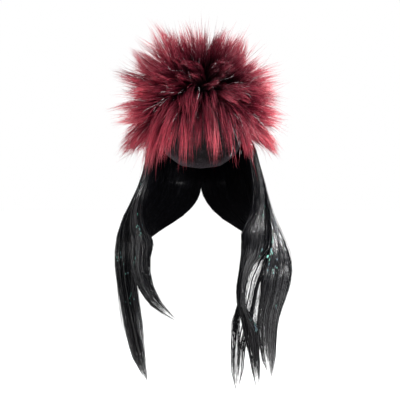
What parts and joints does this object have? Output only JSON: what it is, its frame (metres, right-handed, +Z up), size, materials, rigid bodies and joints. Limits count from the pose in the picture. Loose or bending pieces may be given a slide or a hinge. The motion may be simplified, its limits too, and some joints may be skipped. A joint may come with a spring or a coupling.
{
  "type": "long straight wig with spiky crown",
  "caption": "Wig worn on the head: short spiky red crown with a sheer fringe on a net cap, and long straight black hair led forward over both shoulders in tapering locks",
  "frame": {"origin": "inside top of the cap, where the wig sits on the head", "axes": "+Z up, the face opening looks along -Y, +X to the right of someone who faces the wig"},
  "size_m": [0.3414, 0.3677, 0.6751],
  "materials": {
    "net": "matt stretch net",
    "red_hair": "satin synthetic fibre, black roots, wine red lengths",
    "black_hair": "glossy synthetic fibre with a few iridescent threads"
  },
  "bodies": {
    "root": {"cap": "net", "crown_spikes": "red_hair", "fringe": "red_hair", "right_spikes": "red_hair", "back_spikes": "red_hair", "left_spikes": "red_hair", "left_inner_lock": "black_hair", "left_outer_lock": "black_hair", "left_nape_lock": "black_hair", "right_inner_lock": "black_hair", "right_middle_lock": "black_hair", "right_outer_lock": "black_hair", "right_nape_lock": "black_hair"}
  },
  "joints": []
}
